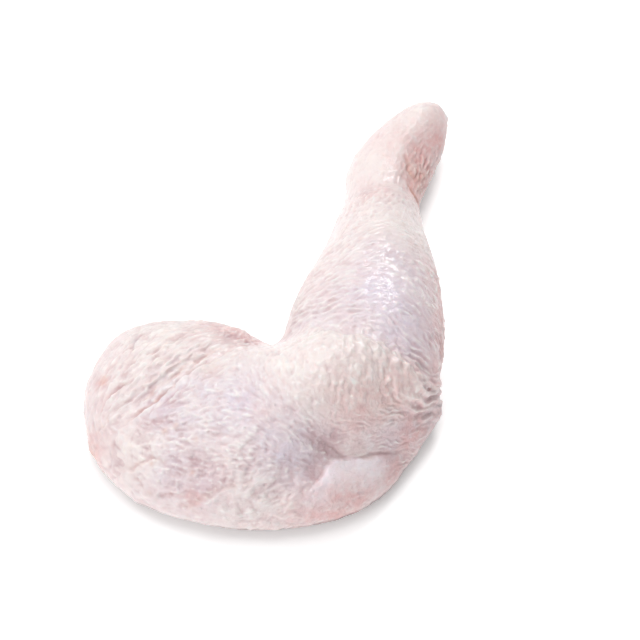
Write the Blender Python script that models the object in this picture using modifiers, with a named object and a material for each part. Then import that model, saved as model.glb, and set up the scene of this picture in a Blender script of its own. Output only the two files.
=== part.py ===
"""Raw chicken leg with its skin on: a thigh and a drumstick in one piece, lying on its flesh side.

The leg is bent at the knee like a hook. The thigh lies along X at the front and the drumstick runs back
along +Y, ending in the rounded hock knuckle. Lengths below are in millimetres; the model is in metres,
+Z up, with its origin at the middle of its base on the surface that it lies on.
"""

import math

import bmesh
import bpy
from mathutils import Matrix, Vector, noise

MM = 0.001

# Driving dimensions, in millimetres.
BASE_SINK = 1.6  # the thigh's underside starts this far below the surface and is then pressed flat on it
RIM_HEIGHT = 9.0  # height of the thigh's widest outline
FLAP_RIM_DROP = 5.5  # how much lower it is where the flap of skin lies down, round this direction
FLAP_DIRECTION = math.radians(-30.0)
FLAP_SPREAD = math.radians(50.0)
VOXEL = 3.4  # spacing of the finished skin's faces
SKIN_DRAPE_STEPS = 5
SKIN_DRAPE_FACTOR = 0.5

# The thigh's outline seen from above, anticlockwise from the knee, about the point it is swept round.
THIGH_MIDDLE = (-18.0, -60.0)
THIGH_OUTLINE = [
    (45.2, -49.6),
    (38.0, -37.0),
    (14.0, -31.0),
    (-8.0, -29.0),
    (-21.0, -24.0),
    (-37.0, -13.0),
    (-58.0, -10.0),
    (-75.0, -14.5),
    (-84.0, -30.0),
    (-85.5, -49.0),
    (-81.5, -69.0),
    (-69.0, -86.0),
    (-46.0, -97.0),
    (-14.0, -101.0),
    (13.0, -92.4),
    (30.3, -74.2),
    (38.4, -60.2),
]

# The thigh's upper surface: an even height with mounds and dips on it, each (x, y, height, spread along x, along y).
THIGH_BASE_HEIGHT = 30.0
THIGH_MOUNDS = [
    (14.0, -52.0, 19.5, 30.0, 22.0),
    (-22.0, -62.0, 7.0, 30.0, 24.0),
    (-56.0, -32.0, 7.0, 26.0, 16.0),
    (6.0, -79.0, -3.0, 11.0, 7.0),
]

# Cross-section from the middle out to the rim: a full dome behind, and in front a dome with a flap of skin round it.
DOME_SHOULDER = 2.4
DOME_FALL = 0.55
FLAP_SHARE = 0.42  # the flap's share of the height
FLAP_START = 0.92  # where the meat begins, as a share of the reach
FLAP_EDGE = 8.0
FLAP_MEAT_SHOULDER = 2.6
FLAP_MEAT_FALL = 0.9
FLAP_TURN = math.radians(8.0)
UPPER_SPREAD = 0.8  # below 1 the form fills out towards its rim, above the rim and below it
LOWER_SPREAD = 0.5
UNDERSIDE_FALL = 0.7

# The drumstick from inside the knee to the tip of the knuckle: (x, y, height of the axis, half width, half height).
# Its two ends close in a curve whose exponent says how blunt they are.
ROOT_BLUNTNESS = 40.0
TIP_BLUNTNESS = 14.0
DRUMSTICK = [
    (14.0, -62.0, 21.0, 26.0, 18.0),
    (15.8, -32.0, 23.2, 29.6, 23.3),
    (18.0, -12.0, 23.2, 27.3, 23.3),
    (20.6, 6.0, 21.0, 23.0, 22.0),
    (21.6, 21.0, 18.4, 19.2, 19.4),
    (22.2, 35.0, 15.8, 16.0, 16.8),
    (24.2, 48.0, 14.0, 14.6, 15.2),
    (26.6, 61.0, 14.6, 16.6, 15.8),
    (32.2, 74.0, 15.0, 16.0, 15.4),
    (38.8, 86.0, 15.6, 12.0, 13.6),
    (44.4, 96.0, 16.2, 9.6, 10.8),
]

# Folds and grooves of the skin: route seen from above, half width of the fold, height (a groove is negative).
FOLDS = [
    ([(-70.0, -64.0), (-48.0, -52.0), (-22.0, -34.0)], 3.8, -2.0),
    ([(-72.0, -56.0), (-52.0, -45.0), (-28.0, -28.0)], 3.8, 1.4),
    ([(-66.0, -71.0), (-44.0, -59.0), (-18.0, -41.0)], 5.0, 1.4),
    ([(-16.0, -33.0), (16.0, -37.0), (46.0, -58.0)], 4.4, -2.0),
    ([(-10.0, -39.0), (14.0, -45.0), (38.0, -63.0)], 6.0, 2.0),
    ([(-16.0, -92.0), (10.0, -80.0), (40.0, -67.0)], 4.4, -2.4),
    ([(-6.0, -98.0), (18.0, -88.0), (38.0, -74.0)], 6.0, 1.4),
    ([(10.0, 42.0), (22.0, 47.0), (37.0, 45.0)], 4.4, -1.4),
    ([(33.0, 48.0), (38.0, 62.0), (45.0, 76.0)], 3.8, -1.6),
]
FOLD_ENDS = 0.12  # share of its height that a fold keeps at either end
FOLD_STEPS = 16
UNEVENNESS = 1.3
UNEVEN_SPACING = 26.0

SKIN_COLOUR = (0.85, 0.68, 0.66, 1.0)


def blended(values, position, closed):
    """The value at a position counted in steps along a list, on a smooth curve through every entry."""
    count = len(values)
    step = math.floor(position)
    share = position - step

    def entry(index):
        index = index % count if closed else min(max(index, 0), count - 1)
        return values[index]

    before, start, end, after = (entry(step + shift) for shift in (-1, 0, 1, 2))
    return [
        0.5 * (2 * b + (c - a) * share + (2 * a - 5 * b + 4 * c - d) * share**2 + (3 * b - a - 3 * c + d) * share**3)
        for a, b, c, d in zip(before, start, end, after)
    ]


def outline_reach(angle):
    """How far the thigh's outline lies from its middle, in this direction."""
    turns = [math.atan2(y - THIGH_MIDDLE[1], x - THIGH_MIDDLE[0]) for x, y in THIGH_OUTLINE]
    reaches = [math.hypot(x - THIGH_MIDDLE[0], y - THIGH_MIDDLE[1]) for x, y in THIGH_OUTLINE]
    for index, turn in enumerate(turns):
        gap = (turns[(index + 1) % len(turns)] - turn) % (2 * math.pi)
        ahead = (angle - turn) % (2 * math.pi)
        if ahead <= gap:
            return blended([[reach] for reach in reaches], index + ahead / gap, closed=True)[0]
    return reaches[0]


def thigh_height(x, y):
    """Height of the thigh's upper surface over the middle of its outline."""
    height = THIGH_BASE_HEIGHT
    for mound_x, mound_y, rise, spread_x, spread_y in THIGH_MOUNDS:
        height += rise * math.exp(-(((x - mound_x) / spread_x) ** 2) - ((y - mound_y) / spread_y) ** 2)
    return height


def eased(share):
    """0 to 1 with a soft start and end."""
    share = max(0.0, min(1.0, share))
    return share * share * (3 - 2 * share)


def rim_height(angle):
    """Height of the thigh's widest outline in this direction."""
    away = (angle - FLAP_DIRECTION + math.pi) % (2 * math.pi) - math.pi
    return RIM_HEIGHT - FLAP_RIM_DROP * eased(1 - abs(away) / FLAP_SPREAD)


def thigh_rise(reach, angle):
    """Share of the thigh's height at this share of the reach: a full dome behind, and a dome with a flap in front."""
    dome = (1 - reach**DOME_SHOULDER) ** DOME_FALL
    flap = math.sqrt(1 - reach**FLAP_EDGE)
    meat = max(0.0, 1 - (reach / FLAP_START) ** FLAP_MEAT_SHOULDER) ** FLAP_MEAT_FALL
    in_front = eased(0.5 - 0.9 * math.sin(angle + FLAP_TURN))
    return dome + (FLAP_SHARE * flap + (1 - FLAP_SHARE) * meat - dome) * in_front


def ball(name, across, along):
    """A unit ball made of the given number of faces around and from pole to pole."""
    bm = bmesh.new()
    bmesh.ops.create_uvsphere(bm, u_segments=across, v_segments=along, radius=1.0)
    mesh = bpy.data.meshes.new(name)
    bm.to_mesh(mesh)
    bm.free()
    return mesh


def thigh_mesh():
    """A ball drawn out to the thigh's outline, flat below and domed above."""
    mesh = ball("thigh_form", 72, 36)
    for vertex in mesh.vertices:
        x, y, rise = vertex.co
        angle = math.atan2(y, x)
        level = min(1.0, math.hypot(x, y)) ** (UPPER_SPREAD if rise > 0 else LOWER_SPREAD)
        reach = outline_reach(angle) * level
        x = THIGH_MIDDLE[0] + reach * math.cos(angle)
        y = THIGH_MIDDLE[1] + reach * math.sin(angle)
        rim = rim_height(angle)
        if rise > 0:
            z = rim + (thigh_height(x, y) - rim) * thigh_rise(level, angle)
        else:
            z = rim - (rim + BASE_SINK) * abs(rise) ** UNDERSIDE_FALL
        vertex.co = Vector((x, y, z)) * MM
    return mesh


def drumstick_mesh():
    """A ball drawn out along the drumstick's axis, through every section of its list."""
    mesh = ball("drumstick_form", 48, 56)
    for vertex in mesh.vertices:
        x, y, rise = vertex.co
        angle = math.atan2(y, x)
        share = 1 - math.acos(max(-1.0, min(1.0, rise))) / math.pi
        centre_x, centre_y, centre_z, half_width, half_height = blended(
            DRUMSTICK, share * (len(DRUMSTICK) - 1), closed=False
        )
        bluntness = ROOT_BLUNTNESS if share < 0.5 else TIP_BLUNTNESS
        end_round = math.sqrt(max(0.0, 1 - abs(2 * share - 1) ** bluntness))
        vertex.co = (
            Vector(
                (
                    centre_x + half_width * end_round * math.cos(angle),
                    centre_y,
                    centre_z + half_height * end_round * math.sin(angle),
                )
            )
            * MM
        )
    return mesh


def fold_height(x, y):
    """How far the skin's folds and grooves lift the surface at this place seen from above."""
    total = 0.0
    for (start, middle, end), half_width, height in FOLDS:
        nearest, where = 1e9, 0.0
        for step in range(FOLD_STEPS + 1):
            t = step / FOLD_STEPS
            route_x = (1 - t) ** 2 * start[0] + 2 * t * (1 - t) * middle[0] + t * t * end[0]
            route_y = (1 - t) ** 2 * start[1] + 2 * t * (1 - t) * middle[1] + t * t * end[1]
            away = math.hypot(x - route_x, y - route_y)
            if away < nearest:
                nearest, where = away, t
        fade = math.sin(math.pi * (FOLD_ENDS + (1 - 2 * FOLD_ENDS) * where))
        total += height * fade * math.exp(-((nearest / half_width) ** 2))
    return total


def join_forms(meshes):
    """One closed skin over all the forms, eased where they meet."""
    both = bmesh.new()
    for mesh in meshes:
        both.from_mesh(mesh)
        bpy.data.meshes.remove(mesh)
    bmesh.ops.recalc_face_normals(both, faces=both.faces)
    joined = bpy.data.meshes.new("chicken_leg_form")
    both.to_mesh(joined)
    both.free()
    draft = bpy.data.objects.new("chicken_leg_draft", joined)
    bpy.context.scene.collection.objects.link(draft)
    remesh = draft.modifiers.new("one_skin", "REMESH")
    remesh.mode = "VOXEL"
    remesh.voxel_size = VOXEL * MM
    drape = draft.modifiers.new("drape", "SMOOTH")
    drape.factor = SKIN_DRAPE_FACTOR
    drape.iterations = SKIN_DRAPE_STEPS
    graph = bpy.context.evaluated_depsgraph_get()
    mesh = bpy.data.meshes.new_from_object(draft.evaluated_get(graph))
    bpy.data.objects.remove(draft)
    bpy.data.meshes.remove(joined)
    mesh.name = "chicken_leg"
    return mesh


def add_relief(mesh):
    """Lifts the skin along its folds and makes it slightly uneven all over."""
    normals = [vertex.normal.copy() for vertex in mesh.vertices]
    for vertex, normal in zip(mesh.vertices, normals):
        x, y = vertex.co.x / MM, vertex.co.y / MM
        upward = max(0.0, min(1.0, 0.25 + 1.3 * normal.z))
        uneven = UNEVENNESS * noise.noise(vertex.co / (UNEVEN_SPACING * MM))
        vertex.co += normal * (fold_height(x, y) * upward + uneven) * MM


def settle(mesh):
    """Flattens the base on the surface and puts the origin at the middle of it."""
    for vertex in mesh.vertices:
        vertex.co.z = max(vertex.co.z, 0.0)
    corners = [[pick(vertex.co[axis] for vertex in mesh.vertices) for axis in range(3)] for pick in (min, max)]
    middle = [(low + high) / 2 for low, high in zip(*corners)]
    mesh.transform(Matrix.Translation((-middle[0], -middle[1], -corners[0][2])))


def skin_material():
    """Moist pale poultry skin."""
    material = bpy.data.materials.new("raw_skin")
    material.use_nodes = True
    shader = material.node_tree.nodes["Principled BSDF"]
    shader.inputs["Base Color"].default_value = SKIN_COLOUR
    shader.inputs["Roughness"].default_value = 0.42
    shader.inputs["Metallic"].default_value = 0.0
    material.diffuse_color = SKIN_COLOUR
    return material


def build():
    for old in list(bpy.data.objects):
        bpy.data.objects.remove(old)
    collection = bpy.data.collections.new("raw_chicken_leg")
    bpy.context.scene.collection.children.link(collection)
    mesh = join_forms([thigh_mesh(), drumstick_mesh()])
    add_relief(mesh)
    settle(mesh)
    mesh.shade_smooth()
    mesh.materials.append(skin_material())
    leg = bpy.data.objects.new("chicken_leg", mesh)
    collection.objects.link(leg)
    return leg


build()
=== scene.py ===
import math

import bmesh
import bpy
import numpy as np
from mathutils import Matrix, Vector, kdtree, noise


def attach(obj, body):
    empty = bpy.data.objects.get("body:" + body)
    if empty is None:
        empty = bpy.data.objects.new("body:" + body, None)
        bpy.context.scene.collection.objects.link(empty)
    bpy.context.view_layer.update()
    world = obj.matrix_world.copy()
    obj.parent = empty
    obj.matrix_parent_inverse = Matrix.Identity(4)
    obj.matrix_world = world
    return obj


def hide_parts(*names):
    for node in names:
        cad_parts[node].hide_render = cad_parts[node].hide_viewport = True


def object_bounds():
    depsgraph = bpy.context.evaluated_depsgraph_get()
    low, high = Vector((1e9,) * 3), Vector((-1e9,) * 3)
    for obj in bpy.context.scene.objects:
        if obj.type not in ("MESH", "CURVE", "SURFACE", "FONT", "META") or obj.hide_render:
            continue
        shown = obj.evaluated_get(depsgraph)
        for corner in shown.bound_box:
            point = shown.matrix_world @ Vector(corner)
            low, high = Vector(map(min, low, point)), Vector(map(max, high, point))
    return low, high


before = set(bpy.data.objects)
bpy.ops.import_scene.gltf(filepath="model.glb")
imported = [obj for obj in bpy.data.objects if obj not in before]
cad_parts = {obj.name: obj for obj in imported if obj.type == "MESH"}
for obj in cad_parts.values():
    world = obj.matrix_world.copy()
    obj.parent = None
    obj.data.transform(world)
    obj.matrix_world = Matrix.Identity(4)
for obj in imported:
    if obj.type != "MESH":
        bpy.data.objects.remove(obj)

# Raw chicken leg with its skin on, lying on its flesh side under soft studio light.
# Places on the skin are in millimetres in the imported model's own frame.
mm = 0.001
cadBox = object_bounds()
print("frame loaded")


def linearColour(hexText):
    parts = [int(hexText[i:i + 2], 16) / 255 for i in (1, 3, 5)]
    return [c / 12.92 if c <= 0.04045 else ((c + 0.055) / 1.055) ** 2.4 for c in parts] + [1.0]


def addNode(tree, kind, settings=None, inputs=None, links=None):
    # settings go on the node, inputs are socket values, links are {socket: output of another node}
    node = tree.nodes.new(kind)
    for name, value in (settings or {}).items():
        setattr(node, name, value)
    for name, value in (inputs or {}).items():
        node.inputs[name].default_value = value
    for name, output in (links or {}).items():
        tree.links.new(output, node.inputs[name])
    return node


# How the fine skin mesh is made
skinMesh = {
    "gridMm": 0.52,          # spacing of its points
    "roundings": 1,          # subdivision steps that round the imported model's faces first
    "relaxSteps": 5,
    "undersideMm": 7.0,      # below this, faces that look down are thinned out
    "undersideShare": 0.74,
    "faceLimit": 196000,     # triangles once the relief is in and its flat places are thinned
    "seed": 7,
}

# Each zone of the skin: a point on it, the way its creases run, how far it reaches, and in millimetres the
# height of its broad folds, its wrinkles, its fine lines, its short streaks (length is how many times as long
# as wide they are), its goose bumps and its lumps of fat
skinZones = {
    "calfInner": dict(at=(19, -23, 43), along=(12, 2, 3), reach=12,
        folds=0.2, wrinkles=1.0, lines=0.14, streaks=0.5, length=3.8, bumps=0.05, lumps=0.0),
    "calfInnerUpper": dict(at=(25, -10, 45), along=(10, 3, 1), reach=11,
        folds=0.15, wrinkles=0.75, lines=0.14, streaks=0.45, length=3.8, bumps=0.08, lumps=0.0),
    "calfShin": dict(at=(32, 3, 43), along=(10, 9, 0), reach=10,
        folds=0.1, wrinkles=0.5, lines=0.14, streaks=0.6, length=3.6, bumps=0.05, lumps=0.0),
    "calfTop": dict(at=(41, 4, 44), along=(10, 2, 0), reach=9,
        folds=0.0, wrinkles=0.1, lines=0.05, streaks=0.12, length=3, bumps=0.18, lumps=0.0),
    "calfCrown": dict(at=(40, -19, 46), along=(10, 0, 0), reach=10,
        folds=0.0, wrinkles=0.16, lines=0.14, streaks=0.12, length=3, bumps=0.22, lumps=0.0),
    "calfOuter": dict(at=(54, -17, 38), along=(10, -5, -6), reach=13,
        folds=0.05, wrinkles=0.2, lines=0.32, streaks=0.16, length=2.6, bumps=1.05, lumps=0.0),
    "calfOuterUpper": dict(at=(53, 7, 36), along=(10, -5, -5), reach=11,
        folds=0.0, wrinkles=0.18, lines=0.3, streaks=0.2, length=2.6, bumps=0.9, lumps=0.0),
    "calfOuterRoot": dict(at=(49, -39, 37), along=(14, -9, -8), reach=12,
        folds=0.1, wrinkles=1.0, lines=0.2, streaks=0.25, length=4, bumps=0.12, lumps=0.0),
    "neck": dict(at=(38, 35, 30), along=(4, 10, 0), reach=11,
        folds=0.1, wrinkles=0.16, lines=0.08, streaks=0.46, length=2.4, bumps=0.06, lumps=0.2),
    "knuckleOuter": dict(at=(57, 59, 20), along=(4, 14, 0), reach=9,
        folds=0.12, wrinkles=0.8, lines=0.35, streaks=0.7, length=2.2, bumps=0.05, lumps=0.15),
    "knuckleInner": dict(at=(37, 58, 28), along=(5, 14, 0), reach=12,
        folds=0.05, wrinkles=0.14, lines=0.08, streaks=0.12, length=2, bumps=0.05, lumps=0.2),
    "tip": dict(at=(58, 83, 27), along=(10, 12, 0), reach=10,
        folds=0.05, wrinkles=0.12, lines=0.06, streaks=0.2, length=2, bumps=0.0, lumps=0.2),
    "fatPad": dict(at=(21, -51, 47), along=(0, 14, 2), reach=13,
        folds=0.1, wrinkles=0.08, lines=0.08, streaks=0.2, length=2.0, bumps=0.3, lumps=0.15),
    "fatPadOuter": dict(at=(38, -55, 40), along=(-2, 12, 6), reach=10,
        folds=0.2, wrinkles=0.1, lines=0.08, streaks=0.16, length=1.7, bumps=0.3, lumps=0.5),
    "fatPadInner": dict(at=(5, -49, 42), along=(1, 14, 0), reach=10,
        folds=0.1, wrinkles=0.06, lines=0.08, streaks=0.28, length=2.2, bumps=0.2, lumps=0.1),
    "kneeSide": dict(at=(55, -51, 25), along=(15, 16, -17), reach=10,
        folds=0.4, wrinkles=0.2, lines=0.1, streaks=0.1, length=3, bumps=0.0, lumps=0.0),
    "belowKnee": dict(at=(43, -67, 23), along=(23, 9, -12), reach=12,
        folds=0.1, wrinkles=0.28, lines=0.55, streaks=0.24, length=4, bumps=0.0, lumps=0.0),
    "thighCentre": dict(at=(-3, -59, 40), along=(7, -15, -2), reach=12,
        folds=0.1, wrinkles=0.2, lines=0.12, streaks=0.4, length=3.2, bumps=0.12, lumps=0.15),
    "thighLow": dict(at=(10, -76, 33), along=(12, -6, -4), reach=10,
        folds=0.1, wrinkles=0.18, lines=0.12, streaks=0.38, length=2, bumps=0.2, lumps=0.24),
    "thighFlank": dict(at=(-14, -75, 32), along=(14, -3, -2), reach=12,
        folds=0.15, wrinkles=0.24, lines=0.12, streaks=0.56, length=2.2, bumps=0.1, lumps=0.3),
    "thighSide": dict(at=(-20, -61, 36), along=(14, 2, -2), reach=10,
        folds=0.12, wrinkles=0.26, lines=0.12, streaks=0.46, length=2.6, bumps=0.1, lumps=0.22),
    "lobe": dict(at=(-36, -41, 31), along=(28, 16, 8), reach=17,
        folds=0.45, wrinkles=0.16, lines=0.1, streaks=0.46, length=7, bumps=0.0, lumps=0.1),
    "lobeFoot": dict(at=(-54, -53, 22), along=(20, 16, 9), reach=11,
        folds=0.45, wrinkles=0.14, lines=0.1, streaks=0.42, length=7, bumps=0.0, lumps=0.2),
    "lobeBack": dict(at=(-38, -24, 28), along=(14, 8, 0), reach=11,
        folds=0.3, wrinkles=0.2, lines=0.12, streaks=0.5, length=3.5, bumps=0.05, lumps=0.3),
    "crinkle": dict(at=(-12, -29, 29), along=(10, 9, 0), reach=7,
        folds=0.6, wrinkles=0.4, lines=0.14, streaks=0.3, length=2, bumps=0.5, lumps=0.9),
    "lumpyFlank": dict(at=(-34, -77, 25), along=(14, -2, 0), reach=13,
        folds=0.2, wrinkles=0.25, lines=0.12, streaks=0.52, length=1.6, bumps=0.1, lumps=0.55),
    "lumpyCorner": dict(at=(-50, -71, 20), along=(10, -9, 0), reach=11,
        folds=0.1, wrinkles=0.06, lines=0.06, streaks=0.1, length=1.6, bumps=0.02, lumps=0.75),
    "frontRim": dict(at=(0, -94, 16), along=(14, 4, 4), reach=12,
        folds=0.2, wrinkles=0.22, lines=0.1, streaks=0.36, length=2.2, bumps=0.05, lumps=0.5),
    "flap": dict(at=(34, -85, 17), along=(20, 10, 0), reach=12,
        folds=0.0, wrinkles=0.12, lines=0.2, streaks=0.3, length=2, bumps=0.02, lumps=0.08),
    "leftRim": dict(at=(-65, -58, 12), along=(3, -15, 0), reach=9,
        folds=0.15, wrinkles=0.06, lines=0.04, streaks=0.08, length=2, bumps=0.0, lumps=0.3),
    "frontCorner": dict(at=(-40, -91, 10), along=(14, -7, 0), reach=10,
        folds=0.1, wrinkles=0.25, lines=0.06, streaks=0.3, length=2, bumps=0.0, lumps=0.35),
}
zoneFields = ("folds", "wrinkles", "lines", "streaks", "length", "bumps", "lumps")
farFromZones = {"weight": 0.12, "share": 0.6, "most": 0.25}     # the skin away from every zone is plainer

# How each of those is drawn, from its spacing on real skin in millimetres. Real pores and the finest lines
# are 0.2 to 0.5 mm apart, too fine to show, so the finest here are as coarse as they need to be.
skinRelief = {
    "folds":    dict(spacing=2.4, align=8, sharpness=1.8, wander=6, breaks=0.2),
    "wrinkles": dict(spacing=2.2, align=1, sharpness=2.2, wander=20, breaks=0.9),
    "lines":    dict(spacing=1.5, align=1, sharpness=1.2, wander=34, breaks=0.95),
    "streaks":  dict(spacing=1.1, radius=0.42, wander=16, count=9, least=-0.8),
    "bumps":    dict(spacing=2.9, radius=0.85, wander=20, count=4, least=0.0),
    "beads":    dict(spacing=3.3, radius=1.15, wander=35, count=4, least=0.0),
    "pebbles":  dict(spacing=1.9, radius=0.68, wander=35, count=5, least=-0.4),
    "lumps":    dict(size=7.5, creaseWidth=0.16, smallShare=0.55, smallSize=0.45, swell=0.9, dip=0.55),
    "wobble":   dict(size=3.2, reach=0.55),     # how the wrinkles' lines waver
    "grain":    dict(size=1.5, height=0.08),
}

# Creases that can be told apart in the skin: route over it, half width, depth, height of the lip beside it,
# how far it strays from the route and how warm its colour is. A depth below zero is a raised ridge.
skinCreases = {
    "mainFold": dict(route=[(-52, -64, 21), (-49, -61, 23), (-43, -58, 26), (-37, -54, 28),
        (-32, -51, 30), (-27, -48, 32), (-21, -46, 35), (-16, -42, 36)],
        width=0.7, depth=0.8, lip=1.0, stray=0.5, warm=0.45),
    "mainFoldUpper": dict(route=[(-34, -52, 29), (-28, -49, 32), (-21, -45, 35), (-16, -41, 36),
        (-11, -37, 35), (-6, -33, 33)],
        width=0.7, depth=0.6, lip=0.8, stray=0.5, warm=0.25),
    "mainRidge": dict(route=[(-50, -57, 23), (-46, -55, 25), (-39, -51, 28), (-31, -46, 32),
        (-24, -42, 33), (-16, -36, 33)],
        width=0.8, depth=0.35, lip=0.7, stray=0.7, warm=0.3),
    "lobeRidgeTop": dict(route=[(-60, -39, 21), (-54, -38, 25), (-47, -37, 29), (-40, -34, 32),
        (-35, -31, 33)],
        width=0.8, depth=-0.4, lip=0.0, stray=0.6, warm=0.1),
    "lobeRidgeHigh": dict(route=[(-55, -47, 23), (-48, -46, 27), (-41, -43, 31), (-34, -40, 34),
        (-27, -36, 35)],
        width=0.8, depth=-0.45, lip=0.0, stray=0.6, warm=0.15),
    "lobeRidgeMiddle": dict(route=[(-51, -52, 25), (-43, -49, 29), (-36, -45, 32), (-29, -42, 34),
        (-23, -37, 35)],
        width=0.8, depth=-0.5, lip=0.0, stray=0.6, warm=0.2),
    "secondFold": dict(route=[(-62, -58, 16), (-59, -52, 20), (-55, -49, 23), (-50, -47, 26),
        (-44, -44, 29)],
        width=0.7, depth=0.8, lip=0.6, stray=0.5, warm=0.15),
    "thirdFold": dict(route=[(-61, -63, 14), (-56, -57, 20), (-50, -54, 24)],
        width=0.7, depth=0.6, lip=0.4, stray=0.5, warm=0.15),
    "upperFold": dict(route=[(-60, -46, 21), (-52, -41, 26), (-42, -37, 31), (-33, -33, 33),
        (-26, -27, 33)],
        width=0.7, depth=0.6, lip=0.5, stray=0.6, warm=0.1),
    "notch": dict(route=[(-51, -33, 26), (-49, -29, 27), (-47, -25, 27)],
        width=1.2, depth=0.9, lip=0.4, stray=0.6, warm=0.0),
    "cornerFold": dict(route=[(-50, -77, 17), (-46, -83, 15), (-43, -87, 14), (-35, -90, 16),
        (-24, -91, 18)],
        width=0.8, depth=0.5, lip=0.4, stray=0.9, warm=0.2),
    "cornerLip": dict(route=[(-53, -77, 15), (-48, -80, 18), (-41, -78, 21), (-36, -80, 21)],
        width=0.8, depth=0.45, lip=0.4, stray=0.9, warm=0.2),
    "flankFold": dict(route=[(-36, -93, 12), (-28, -93, 15), (-16, -90, 21), (-6, -89, 22)],
        width=0.8, depth=0.35, lip=0.3, stray=0.9, warm=0.2),
    "kneeRidgeTop": dict(route=[(50, -49, 35), (53, -49, 32), (55, -50, 29), (58, -48, 24),
        (61, -42, 18), (63, -37, 12)],
        width=1.1, depth=-1.0, lip=-0.25, stray=0.6, warm=0.0),
    "kneeRidgeUpper": dict(route=[(47, -53, 36), (50, -54, 33), (53, -54, 30), (56, -53, 26),
        (59, -48, 21), (62, -43, 15), (63, -40, 9)],
        width=1.1, depth=-1.45, lip=-0.25, stray=0.6, warm=0.0),
    "kneeRidgeMiddle": dict(route=[(45, -56, 33), (49, -57, 30), (52, -56, 27), (55, -55, 23),
        (58, -50, 18), (61, -46, 13), (62, -44, 8)],
        width=1.1, depth=-1.4, lip=-0.25, stray=0.6, warm=0.0),
    "kneeRidgeLower": dict(route=[(44, -59, 30), (48, -59, 27), (51, -58, 24), (55, -56, 21),
        (58, -52, 16), (60, -49, 12), (61, -48, 7)],
        width=1.1, depth=-1.3, lip=-0.25, stray=0.6, warm=0.0),
    "kneeRidgeFoot": dict(route=[(51, -59, 21), (54, -58, 18), (57, -54, 14), (59, -51, 10),
        (60, -50, 6)],
        width=1.1, depth=-1.0, lip=-0.25, stray=0.6, warm=0.0),
    "flapGroove": dict(route=[(15, -76, 31), (21, -77, 28), (26, -79, 24), (32, -78, 22), (38, -76, 21),
        (45, -73, 17), (50, -70, 14)],
        width=1.0, depth=0.8, lip=-0.25, stray=0.25, warm=0.1),
    "hockCrease": dict(route=[(56, 43, 12), (55, 44, 18), (53, 47, 23), (52, 52, 26)],
        width=0.8, depth=0.8, lip=0.3, stray=0.9, warm=1.0),
    "hockCrinkle": dict(route=[(54, 54, 24), (52, 59, 27), (50, 63, 28)],
        width=0.9, depth=0.4, lip=0.3, stray=0.9, warm=0.7),
}

# The pad of fat over the knee: the places and reach of its cover, and its upper edge as y over x
fatPad = {
    "cover": [(8, -49, 42, 15, 0.8), (23, -53, 46, 15, 1.4), (40, -57, 38, 12, 1.3), (48, -55, 33, 9, 0.8)],
    "edgeX": [-8, 6, 14, 24, 29, 35, 40, 45, 50, 60],
    "edgeY": [-33, -30, -33, -40, -42, -40, -43, -46, -49, -50],
    "scallop": 1.6,          # how far the edge strays, in millimetres
    "edgeWidth": 1.2,        # the step from the skin above up to the pad
    "thickness": 1.5,
    "pebbles": 0.5,          # height of the fine beads all over the pad
    "beads": [(47, -50, 36, 8, 1.9), (42, -53, 39, 7, 1.1), (36, -48, 43, 8, 0.9)],
}

# The thin flap at the front right: its upper edge as y over x, and how far its step and its painted
# highlight, a pale sheen, reach below that edge
frontFlap = {
    "edgeX": [6, 10, 13, 16, 19, 22, 26, 30, 35, 40, 45, 50, 58],
    "edgeY": [-96, -92, -90, -87, -83, -79, -77, -76, -75, -72, -70, -66, -58],
    "scallop": 0.5,
    "thickness": 1.0,
    "stepReach": 11.0,
    "paintedSheenReach": 7.0,
    "middle": [(28, -82, 20, 15, 1.4)],
}

# Soft hollows, as (x, y, z, radius, depth)
skinHollows = [
    (55, -53, 25, 8, 1.0), (-37, -60, 28, 8, 0.8), (-21, -86, 23, 7, 0.5), (15, -84, 22, 6, 0.6),
    (21, -76, 29, 5, 1.2), (14, -75, 32, 4, 0.5), (3, -85, 24, 10, 0.2), (33, 43, 30, 5, 0.5),
    (-33, -80, 24, 1.2, 0.5), (-27, -80, 26, 1.3, 0.5), (-21, -82, 27, 1.4, 0.5),
    (-34, -87, 19, 1.1, 0.5), (-31, -88, 19, 1.1, 0.6), (-8, -86, 26, 1.3, 0.6),
]


def fineSkin(node):
    # a smooth, even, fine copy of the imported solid
    grid = bmesh.new()
    grid.from_mesh(node.data)
    bmesh.ops.remove_doubles(grid, verts=grid.verts, dist=0.02 * mm)
    bmesh.ops.join_triangles(
        grid, faces=grid.faces, angle_face_threshold=math.radians(40), angle_shape_threshold=math.radians(60)
    )
    mesh = bpy.data.meshes.new("legSkin")
    grid.to_mesh(mesh)
    grid.free()
    draft = bpy.data.objects.new("legSkinDraft", mesh)
    bpy.context.scene.collection.objects.link(draft)
    rounding = draft.modifiers.new("rounding", "SUBSURF")
    rounding.levels = skinMesh["roundings"]
    even = draft.modifiers.new("evenGrid", "REMESH")
    even.mode = "VOXEL"
    even.voxel_size = skinMesh["gridMm"] * mm
    relax = draft.modifiers.new("relax", "SMOOTH")
    relax.factor = 0.5
    relax.iterations = skinMesh["relaxSteps"]
    graph = bpy.context.evaluated_depsgraph_get()
    fine = bpy.data.meshes.new_from_object(draft.evaluated_get(graph))
    bpy.data.objects.remove(draft)
    bpy.data.meshes.remove(mesh)
    fine.materials.clear()
    return thinUnderside(fine)


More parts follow.
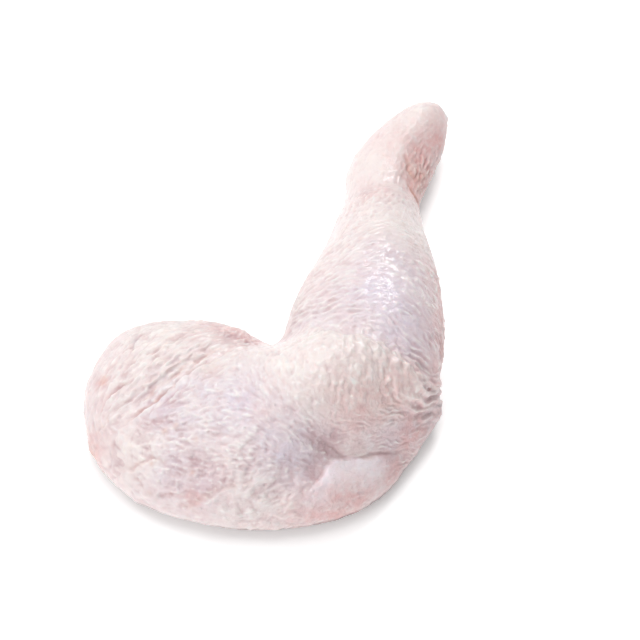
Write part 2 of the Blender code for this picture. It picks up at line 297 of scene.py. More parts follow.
def thinMesh(mesh, share, only=None):
    # keeps this share of the faces, with the fewest where the form is plain; only these points may go
    draft = bpy.data.objects.new("legSkinDraft", mesh)
    bpy.context.scene.collection.objects.link(draft)
    thin = draft.modifiers.new("thin", "DECIMATE")
    thin.ratio = min(1.0, share)
    if only is not None:
        draft.vertex_groups.new(name="thinned").add(only.tolist(), 1.0, "REPLACE")
        thin.vertex_group = "thinned"
    graph = bpy.context.evaluated_depsgraph_get()
    thinned = bpy.data.meshes.new_from_object(draft.evaluated_get(graph))
    bpy.data.objects.remove(draft)
    bpy.data.meshes.remove(mesh)
    thinned.name = "legSkin"
    return thinned


def thinUnderside(mesh):
    # where the leg lies on the surface, out of sight
    down = readPoints(mesh, "normal")[:, 2] < -0.45
    low = readPoints(mesh)[:, 2] < skinMesh["undersideMm"]
    return thinMesh(mesh, skinMesh["undersideShare"], np.where(down & low)[0])


def triangleCount(mesh):
    return sum(len(p.vertices) - 2 for p in mesh.polygons)


def readPoints(mesh, what="co"):
    flat = np.zeros(len(mesh.vertices) * 3, np.float32)
    mesh.vertices.foreach_get(what, flat)
    return flat.reshape(-1, 3).astype(float) / (mm if what == "co" else 1.0)


def writePoints(mesh, points):
    mesh.vertices.foreach_set("co", (points * mm).astype(np.float32).ravel())
    mesh.update()


def treeOf(points):
    tree = kdtree.KDTree(len(points))
    for i, p in enumerate(points):
        tree.insert(p, i)
    tree.balance()
    return tree


def nearest(tree, points, count):
    # indices of the nearest entries of the tree, one row a point
    return np.array([[hit[1] for hit in tree.find_n(p, count)] for p in points])


def scatter(tree, points, spacing, rng):
    # picks points that keep at least this spacing, in a random order
    free = np.ones(len(points), bool)
    chosen = []
    for i in rng.permutation(len(points)):
        if free[i]:
            chosen.append(i)
            free[[hit[1] for hit in tree.find_range(points[i], spacing)]] = False
    return np.array(chosen)


def cloud(points, size, shift):
    # soft noise from -1 to 1 whose patches are about this many millimetres wide
    offset = Vector((shift * 17.3, shift * 5.1, shift * 9.7))
    return np.array([noise.noise(Vector(p) / size + offset) for p in points]) * 1.6


def zoneValues(points):
    # blends the zones' heights and crease directions over the skin
    weights = []
    for zone in skinZones.values():
        away = np.sum((points - np.array(zone["at"], float)) ** 2, axis=1)
        weights.append(np.exp(-away / zone["reach"] ** 2))
    weights = np.array(weights) + 1e-9
    total = weights.sum(axis=0)
    # away from every zone the skin has the mean of all zones at a lower strength
    share = total / (total + farFromZones["weight"])
    fields = {}
    for name in zoneFields:
        heights = np.array([zone[name] for zone in skinZones.values()])
        plain = farFromZones["share"] * min(heights.mean(), farFromZones["most"])
        fields[name] = (heights @ weights) / total * share + plain * (1 - share)
    fields["length"] = np.maximum(fields["length"], 1.5)
    along = np.array([zone["along"] for zone in skinZones.values()], float)
    along /= np.linalg.norm(along, axis=1)[:, None]
    spread = np.einsum("zp,zi,zj->pij", weights / total, along, along)
    return fields, spread


def creaseDirections(spread, normals, wander):
    # the main direction of the blended zones, laid into the skin and turned by a few degrees here and there
    side = np.cross(normals, np.array([0.31, 0.22, 0.92]))
    side /= np.linalg.norm(side, axis=1)[:, None] + 1e-9
    other = np.cross(normals, side)
    a = np.einsum("pi,pij,pj->p", side, spread, side)
    b = np.einsum("pi,pij,pj->p", other, spread, other)
    c = np.einsum("pi,pij,pj->p", side, spread, other)
    turn = 0.5 * np.arctan2(2 * c, a - b) + np.radians(wander)
    along = side * np.cos(turn)[:, None] + other * np.sin(turn)[:, None]
    return along, np.cross(normals, along)


# How the waves of folds, wrinkles and lines are laid out, as shares of their spacing or plain counts
waveLayout = {
    "seedGap": 0.8,         # patches of waves start this far apart
    "reach": 0.95,          # and each reaches this far
    "neighboursToEase": 13,
    "neighboursToBlend": 9,
    "easing": 2.2,          # how widely a patch takes its neighbours' phases
    "blending": 1.6,
    "gain": 2.0,
}


def stripes(points, wavered, seeds, across, near, settings, rng):
    # waves across the creases: patches of waves round the seeds, with their phases eased into each other
    spacing, align = settings["spacing"], settings["align"]
    seedPoints, seedAcross = points[seeds], across[seeds]
    reach = waveLayout["reach"] * spacing
    phases = rng.uniform(0, 2 * math.pi, len(seeds))
    seedNear = nearest(treeOf(seedPoints), seedPoints, waveLayout["neighboursToEase"])
    for _ in range(align):
        offset = seedPoints[:, None, :] - seedPoints[seedNear]
        weight = np.exp(-np.sum(offset ** 2, axis=2) / (waveLayout["easing"] * reach ** 2))
        flip = np.sign(np.sum(seedAcross[seedNear] * seedAcross[:, None, :], axis=2) + 1e-9)
        wave = 2 * math.pi / spacing * np.sum(offset * seedAcross[seedNear], axis=2) + phases[seedNear]
        total = np.sum(weight * np.exp(1j * flip * wave), axis=1)
        phases = np.angle(total)
    offset = wavered[:, None, :] - seedPoints[near]
    weight = np.exp(-np.sum(offset ** 2, axis=2) / (waveLayout["blending"] * reach ** 2))
    flip = np.sign(np.sum(seedAcross[near] * across[:, None, :], axis=2) + 1e-9)
    wave = 2 * math.pi / spacing * np.sum(offset * seedAcross[near], axis=2) + phases[near]
    vigour = 1 - settings["breaks"] * rng.uniform(0, 1, len(seeds)) ** 0.6
    total = np.sum(weight * vigour[near] * np.exp(1j * flip * wave), axis=1)
    strength = np.abs(total) / (np.sum(weight, axis=1) + 1e-9)
    return np.cos(np.angle(total)), np.minimum(1, waveLayout["gain"] * strength)


def waver(points):
    settings = skinRelief["wobble"]
    sideways = np.stack([cloud(points, settings["size"], shift) for shift in (71.0, 72.0, 73.0)], axis=1)
    return points + settings["reach"] * sideways


def foldPattern(tree, points, wavered, normals, spread, name, rng):
    settings = skinRelief[name]
    wander = settings["wander"] * cloud(points, 9.0, 3.0)
    along, across = creaseDirections(spread, normals, wander)
    seeds = scatter(tree, points, waveLayout["seedGap"] * settings["spacing"], rng)
    near = nearest(treeOf(points[seeds]), points, waveLayout["neighboursToBlend"])
    wave, strength = stripes(points, wavered, seeds, across, near, settings, rng)
    ridge = (0.5 + 0.5 * wave) ** settings["sharpness"]
    print("  ", name, "drawn round", len(seeds), "points")
    return (ridge - 0.45) * strength


def bumpPattern(tree, points, normals, spread, stretch, name, rng):
    # goose bumps or short streaks, drawn out along the creases
    settings = skinRelief[name]
    seeds = scatter(tree, points, settings["spacing"], rng)
    turn = settings["wander"] * rng.normal(0, 1, len(seeds))
    along, across = creaseDirections(spread[seeds], normals[seeds], turn)
    near = nearest(treeOf(points[seeds]), points, settings["count"])
    offset = points[:, None, :] - points[seeds][near]
    stretch = (stretch[seeds] * rng.uniform(0.6, 1.4, len(seeds)))[near]
    lengthwise = np.sum(offset * along[near], axis=2) / stretch
    crosswise = np.sum(offset * across[near], axis=2)
    size = rng.uniform(0.75, 1.35, len(seeds))[near]
    height = rng.uniform(settings["least"], 1.0, len(seeds))[near]
    away = (lengthwise ** 2 + crosswise ** 2) / (settings["radius"] * size) ** 2
    print("  ", name, "drawn round", len(seeds), "points")
    return np.sum(height * np.exp(-away), axis=1)


def lumpPattern(points):
    # rounded lumps of fat with winding dips between them
    settings = skinRelief["lumps"]
    height = np.zeros(len(points))
    small = settings["smallSize"] * settings["size"]
    for share, size in ((1.0, settings["size"]), (settings["smallShare"], small)):
        level = cloud(points, size, 5.0 + size)
        dip = np.exp(-((level / settings["creaseWidth"]) ** 2))
        height += share * (settings["swell"] * level - settings["dip"] * dip)
    return height


def smoothRoute(route):
    # points about every 0.4 mm on a curve through the route
    route = np.array(route, float)
    padded = np.vstack([2 * route[0] - route[1], route, 2 * route[-1] - route[-2]])
    samples = []
    for i in range(1, len(padded) - 2):
        p0, p1, p2, p3 = padded[i - 1:i + 3]
        for t in np.linspace(0, 1, max(4, int(np.linalg.norm(p2 - p1) / 0.4)), endpoint=False):
            samples.append(
                0.5 * (2 * p1 + (p2 - p0) * t + (2 * p0 - 5 * p1 + 4 * p2 - p3) * t * t
                       + (3 * p1 - p0 - 3 * p2 + p3) * t ** 3)
            )
    samples.append(route[-1])
    return np.array(samples)


# How the named creases are cut, in half widths of the crease where nothing else is said
creaseCut = {
    "straySize": 4.5,       # millimetres over which a crease wavers
    "widthSwing": 0.3,      # share by which its width varies
    "fadeShare": 0.22,      # it fades out over this share of its length at each end
    "lipAt": 2.3,
    "lipWidth": 1.5,
    "warmWidth": 1.4,
    "reachMm": 9,           # millimetres beyond its ends that are looked at
}


def creaseRelief(points, normals, skinTree):
    # heights of the named creases, and how warm their colour is
    height = np.zeros(len(points))
    warmth = np.zeros(len(points))
    stray = np.stack([cloud(points, creaseCut["straySize"], shift) for shift in (61.0, 62.0, 63.0)], axis=1)
    for crease in skinCreases.values():
        line = smoothRoute(crease["route"])
        line = np.array([skinTree.find(p)[0] for p in line])
        for _ in range(6):
            line[1:-1] = 0.5 * line[1:-1] + 0.25 * (line[:-2] + line[2:])
        middle = line.mean(axis=0)
        halfLength = np.linalg.norm(line - middle, axis=1).max()
        close = np.where(np.linalg.norm(points - middle, axis=1) < halfLength + creaseCut["reachMm"])[0]
        strayed = points[close] + crease["stray"] * stray[close]
        away = np.linalg.norm(strayed[:, None, :] - line[None], axis=2)
        hit = away.argmin(axis=1)
        tangent = np.gradient(line, axis=0)[hit]
        offset = strayed - line[hit]
        distance = away.min(axis=1)
        side = np.sign(np.sum(np.cross(normals[close], tangent) * offset, axis=1))
        toEnd = np.minimum(hit, len(line) - 1 - hit)
        ends = np.clip(toEnd / (creaseCut["fadeShare"] * len(line)), 0.0, 1.0) ** 0.7
        width = crease["width"] * (1 + creaseCut["widthSwing"] * cloud(points[close], 5.0, 11.0))
        valley = np.exp(-((distance / width) ** 2)) * ends
        fromLip = (distance - creaseCut["lipAt"] * width) / (creaseCut["lipWidth"] * width)
        lip = np.exp(-(fromLip ** 2)) * ends * (side < 0)
        height[close] += crease["lip"] * lip - crease["depth"] * valley
        warm = crease["warm"] * np.exp(-((distance / (creaseCut["warmWidth"] * width)) ** 2)) * ends
        warmth[close] = np.maximum(warmth[close], warm)
    return height, warmth


def padCover(points):
    # 1 where the pad of fat lies on the knee, with a scalloped upper edge
    edge = np.interp(points[:, 0], fatPad["edgeX"], fatPad["edgeY"])
    edge += fatPad["scallop"] * cloud(points, 4.0, 91.0)
    top = np.clip((edge - points[:, 1]) / fatPad["edgeWidth"], 0, 1)
    return top * np.clip(blob(points, fatPad["cover"]), 0, 1)


def flapCover(points):
    # the step at the flap's upper edge, and the painted highlight, a pale sheen, below it
    edge = np.interp(points[:, 0], frontFlap["edgeX"], frontFlap["edgeY"])
    below = 0.75 * (edge - points[:, 1]) + frontFlap["scallop"] * cloud(points, 5.0, 95.0)
    top = np.clip(below, 0, 1) * np.clip(blob(points, frontFlap["middle"]), 0, 1)
    step = top * np.exp(-((below / frontFlap["stepReach"]) ** 2))
    return step, top * np.exp(-((below / frontFlap["paintedSheenReach"]) ** 2))


def addAttribute(mesh, name, values):
    attribute = mesh.attributes.new(name, "FLOAT", "POINT")
    attribute.data.foreach_set("value", np.asarray(values, np.float32))


def blob(points, places):
    # a soft spot from 0 to 1 round each (x, y, z, radius, strength)
    total = np.zeros(len(points))
    for x, y, z, radius, strength in places:
        away = np.sum((points - np.array([x, y, z], float)) ** 2, axis=1)
        total += strength * np.exp(-away / radius ** 2)
    return total


# Where the skin is cream with fat, lilac with the meat under it, flushed, warm or dry, with painted light
# among the cream, painted shade among the lilac and flush, and painted shade in its pits, as (x, y, z,
# radius, strength)
skinTints = {
    # cream: the fat's own colour, and painted light at the knuckle's tip, on the flap and on the lower left
    # corner
    "creamAndPaintedLight": [
        (-8, -43, 38, 14, 0.5), (-38, -31, 30, 18, 0.6), (34, 39, 30, 14, 0.3),
        (36, 60, 28, 14, 0.7), (50, 74, 28, 9, 0.5), (57, 87, 28, 8, 1.0), (22, 3, 40, 12, 0.3),
        (42, 20, 39, 14, 0.8), (-42, -29, 29, 9, 0.5), (-20, -79, 26, 13, 0.4),
        (33, -84, 19, 9, 1.0), (-46, -74, 21, 9, 0.9), (0, -94, 16, 14, 0.4),
        (-26, -63, 34, 8, 0.5),
    ],
    # lilac: the meat's colour under the skin, and painted shade below the lobe's main fold and at the front
    "lilacAndPaintedShade": [
        (38, -24, 46, 14, 1.0), (40, -3, 44, 10, 0.5), (50, -37, 37, 12, 0.9),
        (-8, -63, 38, 14, 0.9), (8, -81, 27, 13, 1.0), (45, -67, 22, 12, 0.9),
        (-32, -53, 31, 12, 0.4), (-21, -63, 34, 9, 0.3), (-28, -70, 30, 14, 0.5),
        (54, -10, 36, 12, 0.5), (-38, -61, 27, 9, 0.5), (-24, -88, 20, 9, 0.7),
        (-35, -83, 20, 10, 0.4), (14, -32, 40, 8, 0.4),
    ],
    # flush: the skin's own pink, and painted shade down the right side of the leg and in places at the front
    "flushAndPaintedShade": [
        (-21, -86, 23, 8, 0.25), (46, 70, 28, 10, 0.25), (37, 40, 31, 8, 0.45),
        (57, 48, 18, 9, 1.0), (56, 58, 20, 10, 1.0), (58, 67, 19, 9, 0.9), (64, 80, 18, 10, 0.9),
        (-27, -91, 17, 4.5, 0.6), (-12, -29, 29, 9, 0.5), (28, -91, 13, 12, 0.8),
        (11, -96, 12, 9, 0.4), (43, -77, 10, 9, 0.9), (30, -66, 31, 11, 0.45),
        (-64, -66, 9, 8, 0.7), (-61, -42, 20, 4, 0.6), (-20, -25, 27, 9, 0.4),
        (26, -62, 40, 12, 0.25), (-3, -69, 36, 5, 0.3), (61, -5, 28, 13, 0.8),
        (61, -28, 26, 12, 1.0), (59, -46, 21, 10, 0.9), (54, -61, 14, 12, 1.0),
        (43, -56, 33, 12, 0.5), (24, -93, 10, 12, 0.4),
    ],
    "warmth": [
        (-68, -63, 7, 4, 0.7), (-65, -70, 5, 4, 0.7), (-61, -78, 4, 4, 0.6),
        (-37, -70, 27, 1.2, 0.5), (-36, -73, 26, 1.0, 0.4), (-26, -75, 29, 1.0, 0.5),
        (-27, -85, 23, 1.1, 0.6), (-29, -84, 22, 0.9, 0.5), (-41, -80, 21, 0.9, 0.5),
        (-33, -69, 29, 1.1, 0.5), (-61, -42, 20, 1.8, 0.6), (-21, -49, 36, 4, 0.3),
        (-63, -68, 9, 3, 0.6), (56, 57, 21, 8, 0.4),
    ],
    "dry": [
        (48, 66, 29, 15, 1.0), (60, 84, 26, 11, 0.8),
    ],
    # painted shade in small pits and hollows and on the lower right side
    "paintedShade": [
        (59, -54, 13, 8, 0.3), (61, -42, 16, 8, 0.25), (-33, -80, 24, 0.8, 0.35),
        (-27, -80, 26, 0.9, 0.35), (-21, -82, 27, 0.9, 0.3), (-34, -87, 19, 0.8, 0.35),
        (-31, -88, 19, 0.8, 0.35), (-8, -86, 26, 0.9, 0.35), (-49, -29, 27, 2.0, 0.5),
        (20, -76, 30, 3.2, 0.15),
    ],
}


# The skin's two base colours with the size of their patches in millimetres, and the colours laid over them in
# this order. A patchy one has the size of its patches, their detail, and the least and most of it there. Some
# layers are painted shade in the dips, pits and under the rim, some painted highlights on the crests and the
# flap, and the cream, lilac and flush are in places painted light or shade.
skinBase = ("#f3e6e5", "#eedcdc", 9)
skinColours = {
    # lilac: the meat's colour, in places painted shade
    "lilacAndPaintedShade": ("#e3d7e3", 6, 3, 0.5, 1.0),
    # cream: the fat's colour, in places painted light
    "creamAndPaintedLight": ("#f9efeb", 5, 3, 0.55, 1.0),
    # flush: the skin's pink, in places painted shade
    "flushAndPaintedShade": ("#e7aeab", 4.5, 3, 0.35, 0.85),
    # painted shade in the folds, hollows and fine dips of the relief
    "valley": ("#c8a4a9", 7, 2, 0.5, 0.95),
    # painted highlight on the crests of the relief
    "ridge": ("#fffaf7", 4, 2, 0.35, 0.9),
    "warmth": ("#d69a7c", 4, 2, 0.3, 0.8),
    # painted shade
    "paintedShade": ("#b09da8",),
    # painted highlight along the flap's upper edge
    "paintedSheen": ("#fff3f9", 5, 2, 0.7, 1.0),
    "meat": ("#bf5a48",),
    # painted contact shadow under the rim
    "paintedContactShadow": ("#7a5a59",),
}

# The skin's surface: moist, with a thin film of water that the dry knuckle nearly lacks
skinSurface = {
    "gloss": (2.2, 3, 0.32, 0.55),      # patches of roughness: size in millimetres, detail, least and most
    "dryGloss": 0.75,
    "film": 0.5,
    "dryFilm": 0.06,
    "filmRoughness": 0.12,
    "grainMm": 0.8,         # pores are about 0.3 mm apart, too fine to show, so the grain is drawn coarser
    "grainDepthMm": 0.42,
    "lightGoesInMm": 0.5,
}


def skinMaterial():
    # Raw poultry skin, plucked and moist: thin pale skin over cream fat and lilac meat. To the eye it has a
    # soft sheen with small sharp glints from a film of water, and light that goes about half a millimetre in
    # takes the hardness off its creases.
    material = bpy.data.materials.new("rawPoultrySkin")
    material.use_nodes = True
    tree = material.node_tree
    tree.nodes.clear()
    place = addNode(tree, "ShaderNodeTexCoord").outputs["Object"]

    def mask(name):
        return addNode(tree, "ShaderNodeAttribute", {"attribute_name": name}).outputs["Fac"]

    def mottle(sizeMm, detail, low, high):
        # noise whose patches are this wide, between two values
        cloudNode = addNode(
            tree, "ShaderNodeTexNoise", None,
            {"Scale": 1 / (sizeMm * mm), "Detail": detail, "Roughness": 0.6}, {"Vector": place}
        )
        return addNode(
            tree, "ShaderNodeMapRange", {"clamp": True},
            {"From Min": 0.35, "From Max": 0.65, "To Min": low, "To Max": high},
            {"Value": cloudNode.outputs["Fac"]}
        ).outputs["Result"]

    def times(first, second):
        product = {"operation": "MULTIPLY", "use_clamp": True}
        return addNode(tree, "ShaderNodeMath", product, None, {0: first, 1: second}).outputs[0]

    def blendTo(colour, hexText, amount):
        mix = addNode(
            tree, "ShaderNodeMix", {"data_type": "RGBA"}, {7: linearColour(hexText)}, {0: amount, 6: colour}
        )
        return mix.outputs[2]

    # the colour: a mottled base, then the layers, some of them painted shade and painted highlights
    paler, deeper, sizeMm = skinBase
    colour = addNode(
        tree, "ShaderNodeMix", {"data_type": "RGBA"},
        {6: linearColour(paler), 7: linearColour(deeper)}, {0: mottle(sizeMm, 3, 0.0, 1.0)}
    ).outputs[2]
    for name, (hexText, *patchiness) in skinColours.items():
        amount = mask(name)
        if patchiness:
            amount = times(amount, mottle(*patchiness))
        colour = blendTo(colour, hexText, amount)

    dry = mask("dry")
    gloss = addNode(
        tree, "ShaderNodeMix", {"data_type": "FLOAT"},
        {3: skinSurface["dryGloss"]}, {0: dry, 2: mottle(*skinSurface["gloss"])}
    ).outputs[0]
    film = addNode(
        tree, "ShaderNodeMapRange", {"clamp": True},
        {"To Min": skinSurface["film"], "To Max": skinSurface["dryFilm"]}, {"Value": dry}
    ).outputs["Result"]
    grain = addNode(
        tree, "ShaderNodeTexNoise", None,
        {"Scale": 1 / (skinSurface["grainMm"] * mm), "Detail": 4, "Roughness": 0.65}, {"Vector": place}
    ).outputs["Fac"]
    bump = addNode(
        tree, "ShaderNodeBump", None,
        {"Strength": 0.9, "Distance": skinSurface["grainDepthMm"] * mm}, {"Height": grain}
    )
    shader = addNode(
        tree, "ShaderNodeBsdfPrincipled", None,
        {"Metallic": 0.0, "IOR": 1.4, "Subsurface Weight": 0.22,
         "Subsurface Scale": skinSurface["lightGoesInMm"] * mm, "Subsurface Radius": (1.0, 0.55, 0.45),
         "Coat Roughness": skinSurface["filmRoughness"]},
        {"Base Color": colour, "Roughness": gloss, "Coat Weight": film, "Normal": bump.outputs["Normal"]}
    )
    addNode(tree, "ShaderNodeOutputMaterial", None, None, {"Surface": shader.outputs["BSDF"]})
    return material


# Where folds, wrinkles and lines come and go: size of the patches in millimetres, which noise, and how strong
# they are there
skinPatches = {
    "folds":    dict(size=11.0, shift=21.0, middle=0.9, swing=0.6, least=0.4, most=1.3),
    "wrinkles": dict(size=7.0, shift=31.0, middle=0.8, swing=1.0, least=0.1, most=1.5),
    "lines":    dict(size=6.0, shift=41.0, middle=0.7, swing=1.0, least=0.0, most=1.5),
}

# How the relief is tinted: painted shade in its dips and painted highlights on its crests. Reach is in
# millimetres of height: a tint shows from start times reach on, and is full one reach further.
skinShade = {
    # painted shade: the dips darken the folds, hollows and fine dips
    "dip":         dict(reach=0.8, start=0.2),      # in the folds and hollows
    "fineDip":     dict(reach=0.24, start=0.1, share=0.42),
    # painted highlights: the ridges and crests of the relief are lightened
    "fineRidge":   dict(reach=0.34, start=0.15),
    "foldRidge":   dict(reach=0.5, start=0.2),
    "creaseRidge": dict(reach=1.2, start=0.2),
    "crestMost": 0.7,
    "ridgeMost": 0.8,
    "padCream": 0.9,
    "padLilac": 0.85,        # how much of the lilac the pad of fat hides
    # painted contact shadow: a dark line that grows as the normal's upward part falls below the first value,
    # over the second one, and below a height, over so many millimetres; the rim of dark meat depends on
    # height alone
    "paintedShadowTurn": (0.1, 0.3),
    "paintedShadowHeight": (7.0, 3.0),
    "rimHeight": (2.6, 2.0),
    "rimShare": 0.8,
}


def patches(points, name):
    settings = skinPatches[name]
    strength = settings["middle"] + settings["swing"] * cloud(points, settings["size"], settings["shift"])
    return np.clip(strength, settings["least"], settings["most"])


def rise(height, settings):
    # grows with the height, from 0 at the start
    return height / settings["reach"] - settings["start"]


def evenBumps(name, skin, stretch, rng):
    # bumps of the same stretch all over the skin
    tree, points, normals, spread = skin
    return bumpPattern(tree, points, normals, spread, np.full(len(points), stretch), name, rng)


def insideBox(points):
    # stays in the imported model's own box
    low, high = (np.array(corner) / mm for corner in cadBox)
    inner = points.min(axis=0), points.max(axis=0)
    for axis in range(3):
        span = (high[axis] - low[axis]) / (inner[1][axis] - inner[0][axis])
        points[:, axis] = low[axis] + (points[:, axis] - inner[0][axis]) * min(1.0, span) + (
            0.0 if span < 1 else (inner[0][axis] - low[axis])
        )
    return points


def tintSkin(mesh, points, normals, relief):
    # amounts that the material reads, one for each point of the skin
    cover = fatPad["thickness"] * relief["pad"] + frontFlap["thickness"] * relief["step"]
    # painted shade in the dips of the relief
    paintedDipShade = np.clip(rise(cover - relief["broad"], skinShade["dip"]), 0, 1)
    paintedFineDipShade = np.clip(rise(-relief["fine"], skinShade["fineDip"]), 0, 1)
    addAttribute(mesh, "valley", np.clip(paintedDipShade + skinShade["fineDip"]["share"] * paintedFineDipShade, 0, 1))
    # painted highlights on the crests of the folds, creases and fine relief
    foldCrests = rise(relief["folds"], skinShade["foldRidge"])
    creaseCrests = rise(relief["creases"], skinShade["creaseRidge"])
    paintedCrestHighlights = np.clip(np.maximum(foldCrests, creaseCrests), 0, skinShade["crestMost"])
    paintedRidgeHighlights = np.maximum(rise(relief["fine"], skinShade["fineRidge"]), paintedCrestHighlights)
    addAttribute(mesh, "ridge", np.clip(paintedRidgeHighlights, 0, skinShade["ridgeMost"]))
    tints = {name: np.clip(blob(points, places), 0, 1) for name, places in skinTints.items()}
    tints["warmth"] = np.maximum(tints["warmth"], relief["warmth"])
    tints["creamAndPaintedLight"] = np.maximum(tints["creamAndPaintedLight"], skinShade["padCream"] * relief["pad"])
    tints["lilacAndPaintedShade"] *= 1 - skinShade["padLilac"] * relief["pad"]
    for name, amount in tints.items():
        addAttribute(mesh, name, np.clip(amount, 0, 1))
    # painted highlight along the flap's upper edge
    addAttribute(mesh, "paintedSheen", relief["paintedSheen"])
    # painted contact shadow where the skin turns under near the floor
    turn, overTurn = skinShade["paintedShadowTurn"]
    top, overHeight = skinShade["paintedShadowHeight"]
    turnedUnder = np.clip((turn - normals[:, 2]) / overTurn, 0, 1)
    addAttribute(mesh, "paintedContactShadow", turnedUnder * np.clip((top - points[:, 2]) / overHeight, 0, 1))
    top, overHeight = skinShade["rimHeight"]
    rim = np.clip((top - points[:, 2]) / overHeight, 0, 1)
    rim = rim * np.clip(0.6 + 0.9 * cloud(points, 8.0, 51.0), 0, 1)
    addAttribute(mesh, "meat", np.clip(rim * skinShade["rimShare"], 0, 1))


def makeSkin(node):
    mesh = fineSkin(node)
    points = readPoints(mesh)
    print("fine skin of", len(points), "points")
    rng = np.random.default_rng(skinMesh["seed"])
    skinTree = treeOf(points)
    normals = readPoints(mesh, "normal")
    fields, spread = zoneValues(points)
    skin = skinTree, points, normals, spread
    # the folds and creases first, then the finer relief along the folded skin's own normals
    wavered = waver(points)
    folds = foldPattern(skinTree, points, wavered, normals, spread, "folds", rng) * fields["folds"]
    lumps = lumpPattern(points) * fields["lumps"]
    creases, warmth = creaseRelief(points, normals, skinTree)
    skinSide = np.clip((normals[:, 2] + 0.75) / 0.5, 0.0, 1.0)
    pad = padCover(points)
    step, paintedSheen = flapCover(points)
    broad = folds * patches(points, "folds") + lumps + creases - blob(points, skinHollows)
    broad += fatPad["thickness"] * pad + evenBumps("beads", skin, 1.6, rng) * blob(points, fatPad["beads"])
    broad = (broad + frontFlap["thickness"] * step) * skinSide
    moved = points + normals * broad[:, None]
    writePoints(mesh, moved)
    normals = readPoints(mesh, "normal")
    skin = skinTree, points, normals, spread
    linePatches = patches(points, "lines")
    wrinkles = foldPattern(skinTree, points, wavered, normals, spread, "wrinkles", rng)
    wrinkles = wrinkles * fields["wrinkles"] * patches(points, "wrinkles")
    lines = foldPattern(skinTree, points, wavered, normals, spread, "lines", rng)
    lines = lines * fields["lines"] * linePatches
    bumps = evenBumps("bumps", skin, 1.3, rng) * fields["bumps"]
    pebbles = evenBumps("pebbles", skin, 1.15, rng)
    bumps += fatPad["pebbles"] * (pebbles - pebbles.mean()) * pad
    streaks = bumpPattern(skinTree, points, normals, spread, fields["length"], "streaks", rng)
    streaks = (streaks - streaks.mean()) * fields["streaks"]
    grain = cloud(points, skinRelief["grain"]["size"], 81.0) * skinRelief["grain"]["height"]
    fine = (wrinkles + lines + bumps + streaks + grain) * skinSide
    print("relief drawn")

    writePoints(mesh, insideBox(moved + normals * fine[:, None]))
    relief = {
        "pad": pad, "step": step, "paintedSheen": paintedSheen, "broad": broad, "fine": fine, "creases": creases,
        "folds": folds * linePatches, "warmth": warmth,
    }
    tintSkin(mesh, points, normals, relief)
    mesh = thinMesh(mesh, skinMesh["faceLimit"] / triangleCount(mesh))
    mesh.shade_smooth()
    mesh.materials.append(skinMaterial())
    skinPiece = bpy.data.objects.new("legSkin", mesh)
    bpy.context.scene.collection.objects.link(skinPiece)
    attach(skinPiece, "root")
    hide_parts("chicken_leg")
    print("skin of", triangleCount(mesh), "triangles")


makeSkin(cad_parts["chicken_leg"])

# The floor, light and camera
studio = {
    "floorHalf": 1.6,
    "floorGlow": 0.30,      # a light table: the shadow on it stays pale
    "roomLeft": 0.48,       # brightness of the white room on the left, where the window is, and on the right
    "roomRight": 0.16,
    "lights": {             # power, size and place of each lamp
        "softBox": (5.05, 1.0, (-0.15, 0.0, 1.35)),
        "windowLight": (1.0, 0.16, (-0.75, 0.35, 0.75)),
        "backLamp": (6.4, 0.5, (0.3, 0.8, 0.95)),
        "frontFill": (4.8, 1.0, (-0.55, -0.9, 0.7)),
    },
}

photoCamera = {
    "lookDown": 50.0,       # degrees below level
    "distance": 0.85,
    "lens": 126.7,
    "aim": (17.1 * mm, 2.4 * mm, 0.0),
}


def floorMaterial():
    # Matt white acrylic of a light table: white and even, with a faint glow
    material = bpy.data.materials.new("mattWhiteAcrylic")
    material.use_nodes = True
    tree = material.node_tree
    shader = tree.nodes["Principled BSDF"]
    shader.inputs["Base Color"].default_value = linearColour("#fcfcfc")
    shader.inputs["Roughness"].default_value = 0.6
    shader.inputs["Specular IOR Level"].default_value = 0.2
    shader.inputs["Emission Color"].default_value = (1, 1, 1, 1)
    shader.inputs["Emission Strength"].default_value = studio["floorGlow"]
    return material


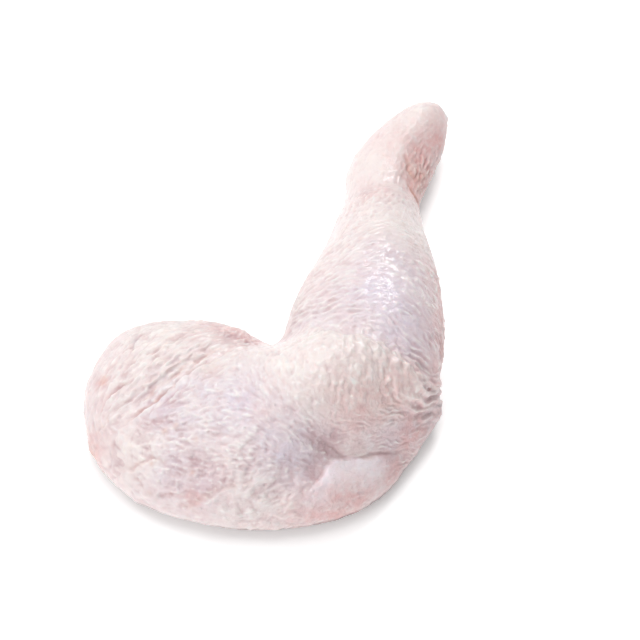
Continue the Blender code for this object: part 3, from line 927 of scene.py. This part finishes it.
def softLight(name, power, size, fromPoint):
    light = bpy.data.lights.new(name, "AREA")
    light.energy = power
    light.shape = "DISK"
    light.size = size
    lamp = bpy.data.objects.new(name, light)
    lamp.location = fromPoint
    lamp.rotation_euler = (-Vector(fromPoint)).to_track_quat("-Z", "Y").to_euler()
    bpy.context.scene.collection.objects.link(lamp)


def makeStudio():
    half = studio["floorHalf"]
    grid = bmesh.new()
    bmesh.ops.create_grid(grid, x_segments=1, y_segments=1, size=half)
    mesh = bpy.data.meshes.new("floor")
    grid.to_mesh(mesh)
    grid.free()
    mesh.materials.append(floorMaterial())
    floor = bpy.data.objects.new("floor", mesh)
    bpy.context.scene.collection.objects.link(floor)
    for name, (power, size, fromPoint) in studio["lights"].items():
        softLight(name, power, size, fromPoint)
    world = bpy.data.worlds.new("whiteRoom")
    world.use_nodes = True
    tree = world.node_tree
    sky = addNode(tree, "ShaderNodeTexCoord").outputs["Generated"]
    sideways = addNode(tree, "ShaderNodeSeparateXYZ", None, None, {"Vector": sky}).outputs["X"]
    left, right = studio["roomLeft"], studio["roomRight"]
    brightness = {"From Min": -0.5, "From Max": 0.8, "To Min": left, "To Max": right}
    strength = addNode(tree, "ShaderNodeMapRange", None, brightness, {"Value": sideways}).outputs["Result"]
    tree.nodes["Background"].inputs["Color"].default_value = (1, 1, 1, 1)
    tree.links.new(strength, tree.nodes["Background"].inputs["Strength"])
    bpy.context.scene.world = world
    bpy.context.scene.view_settings.view_transform = "Standard"
    print("studio lit")


def makeCamera():
    camera = bpy.data.cameras.new("photoCamera")
    camera.lens = photoCamera["lens"]
    camera.sensor_width = 36
    camera.clip_start = 0.01
    eye = bpy.data.objects.new("photoCamera", camera)
    tilt = math.radians(photoCamera["lookDown"])
    gaze = Vector((0, math.cos(tilt), -math.sin(tilt)))
    eye.location = Vector(photoCamera["aim"]) - gaze * photoCamera["distance"]
    eye.rotation_euler = gaze.to_track_quat("-Z", "Y").to_euler()
    bpy.context.scene.collection.objects.link(eye)
    bpy.context.scene.camera = eye
    print("camera set")


makeStudio()
makeCamera()
